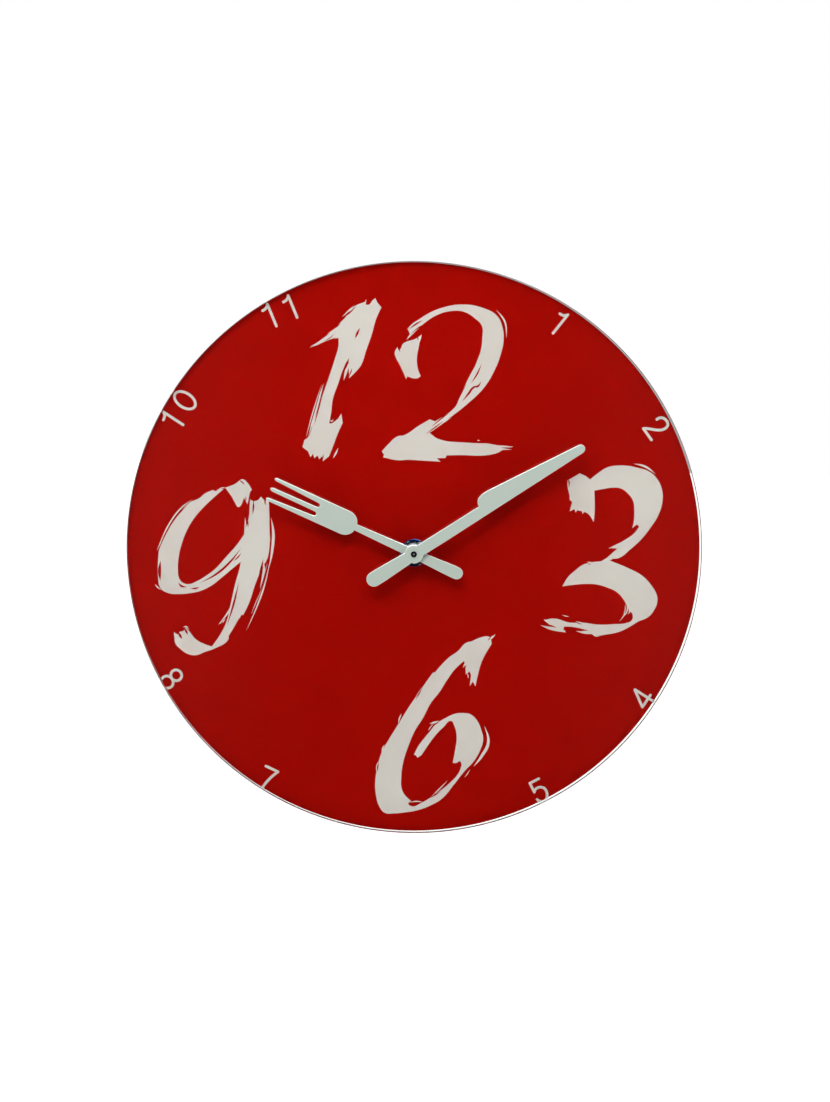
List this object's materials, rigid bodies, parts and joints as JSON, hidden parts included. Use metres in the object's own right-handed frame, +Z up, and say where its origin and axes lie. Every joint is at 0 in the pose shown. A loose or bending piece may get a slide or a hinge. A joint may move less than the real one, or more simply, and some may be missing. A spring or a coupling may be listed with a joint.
{
  "type": "wall clock",
  "caption": "Round glass wall clock with brush-stroke numerals on red, fork and knife shaped hands, and a battery quartz movement behind.",
  "frame": {"origin": "on the axis of the hands, in the plane of the wall: the back face of the movement case", "axes": "+Z up the dial to 12, +X to the right of the dial seen from the room, +Y into the wall"},
  "size_m": [0.3, 0.0295, 0.3],
  "materials": {
    "glass": "clear, polished, with a ground green-grey edge",
    "red_ink": "flooded ink on the back of the glass",
    "white_ink": "dry-brush off-white ink on the back of the glass",
    "hand_metal": "pale mint-grey satin",
    "nickel": "bright nickel plate",
    "brass": "turned",
    "steel": "turned",
    "iron": "stamped soft iron, dull nickel plate",
    "magnet": "sintered",
    "copper": "enamelled copper wire",
    "black_case": "black moulding with a fine grain",
    "natural_plastic": "natural acetal moulding",
    "black_tube": "black moulding",
    "board": "paper-resin board",
    "chip_resin": "black potting resin",
    "spring_steel": "nickel-plated spring strip",
    "rubber": "moulded",
    "cell_film": "printed film"
  },
  "bodies": {
    "clock_case": {"glass_disc": "glass", "red_print": "red_ink", "numeral_12": "white_ink", "numeral_3": "white_ink", "numeral_6": "white_ink", "numeral_9": "white_ink", "small_numerals": "white_ink", "fixing_nut": "nickel", "dial_washer": "nickel", "threaded_bush": "brass", "rubber_washer": "rubber", "front_case": "black_case", "rear_case": "black_case", "middle_plate": "natural_plastic", "stator": "iron", "coil_core": "iron", "coil_bobbin": "natural_plastic", "coil_winding": "copper", "coil_leads": "copper", "circuit_board": "board", "clock_chip": "chip_resin", "quartz_crystal": "nickel", "contact_positive": "spring_steel", "contact_negative": "spring_steel"},
    "minute_hand_set": {"minute_hand": "hand_metal", "minute_hand_collet": "hand_metal", "minute_arbor": "black_tube", "clutch_spring": "spring_steel"},
    "hour_hand_set": {"hour_hand": "hand_metal", "hour_hand_collet": "brass", "hour_wheel": "natural_plastic"},
    "motion_wheel_set": {"motion_wheel": "natural_plastic"},
    "setting_knob_set": {"setting_knob": "black_case", "setting_pinion": "natural_plastic"},
    "centre_wheel_set": {"centre_wheel": "natural_plastic"},
    "third_wheel_set": {"third_wheel": "natural_plastic"},
    "seconds_wheel_set": {"seconds_wheel": "natural_plastic", "seconds_arbor": "steel"},
    "intermediate_wheel_set": {"intermediate_wheel": "natural_plastic"},
    "rotor_set": {"rotor_magnet": "magnet", "rotor_pinion": "natural_plastic"},
    "battery": {"battery_can": "steel", "battery_end": "steel", "battery_sleeve": "cell_film", "battery_insulator": "black_case"}
  },
  "joints": [
    {"name": "minute_turn", "type": "hinge", "parent": "clock_case", "child": "minute_hand_set", "pos_m": [0, -0.02, 0], "axis": [0, 1, 0], "continuous": true},
    {"name": "hour_turn", "type": "hinge", "parent": "clock_case", "child": "hour_hand_set", "pos_m": [0, -0.02, 0], "axis": [0, 1, 0], "continuous": true},
    {"name": "motion_turn", "type": "hinge", "parent": "clock_case", "child": "motion_wheel_set", "pos_m": [-0.0072, -0.0115, 0], "axis": [0, 1, 0], "continuous": true},
    {"name": "knob_turn", "type": "hinge", "parent": "clock_case", "child": "setting_knob_set", "pos_m": [-0.01317, -0.005, -0.00403], "axis": [0, 1, 0], "continuous": true},
    {"name": "seconds_turn", "type": "hinge", "parent": "clock_case", "child": "seconds_wheel_set", "pos_m": [0, -0.01, 0], "axis": [0, 1, 0], "continuous": true},
    {"name": "third_turn", "type": "hinge", "parent": "clock_case", "child": "third_wheel_set", "pos_m": [0.00836, -0.007, 0.00585], "axis": [0, 1, 0], "continuous": true},
    {"name": "centre_turn", "type": "hinge", "parent": "clock_case", "child": "centre_wheel_set", "pos_m": [0, -0.0082, 0], "axis": [0, 1, 0], "continuous": true},
    {"name": "intermediate_turn", "type": "hinge", "parent": "clock_case", "child": "intermediate_wheel_set", "pos_m": [-0.01014, -0.005, 0.00272], "axis": [0, 1, 0], "continuous": true},
    {"name": "rotor_turn", "type": "hinge", "parent": "clock_case", "child": "rotor_set", "pos_m": [-0.0131, -0.005, 0.00906], "axis": [0, 1, 0], "continuous": true},
    {"name": "battery_slide", "type": "slide", "parent": "clock_case", "child": "battery", "axis": [0, 1, 0], "range_m": [0, 0.016]}
  ],
  "couplings": [
    {"joint": "hour_turn", "follows": "minute_turn", "ratio": 0.083333},
    {"joint": "motion_turn", "follows": "minute_turn", "ratio": -0.33333},
    {"joint": "knob_turn", "follows": "minute_turn", "ratio": 1},
    {"joint": "third_turn", "follows": "seconds_turn", "ratio": -0.13333},
    {"joint": "centre_turn", "follows": "seconds_turn", "ratio": 0.016667},
    {"joint": "intermediate_turn", "follows": "seconds_turn", "ratio": -5},
    {"joint": "rotor_turn", "follows": "seconds_turn", "ratio": 30}
  ]
}
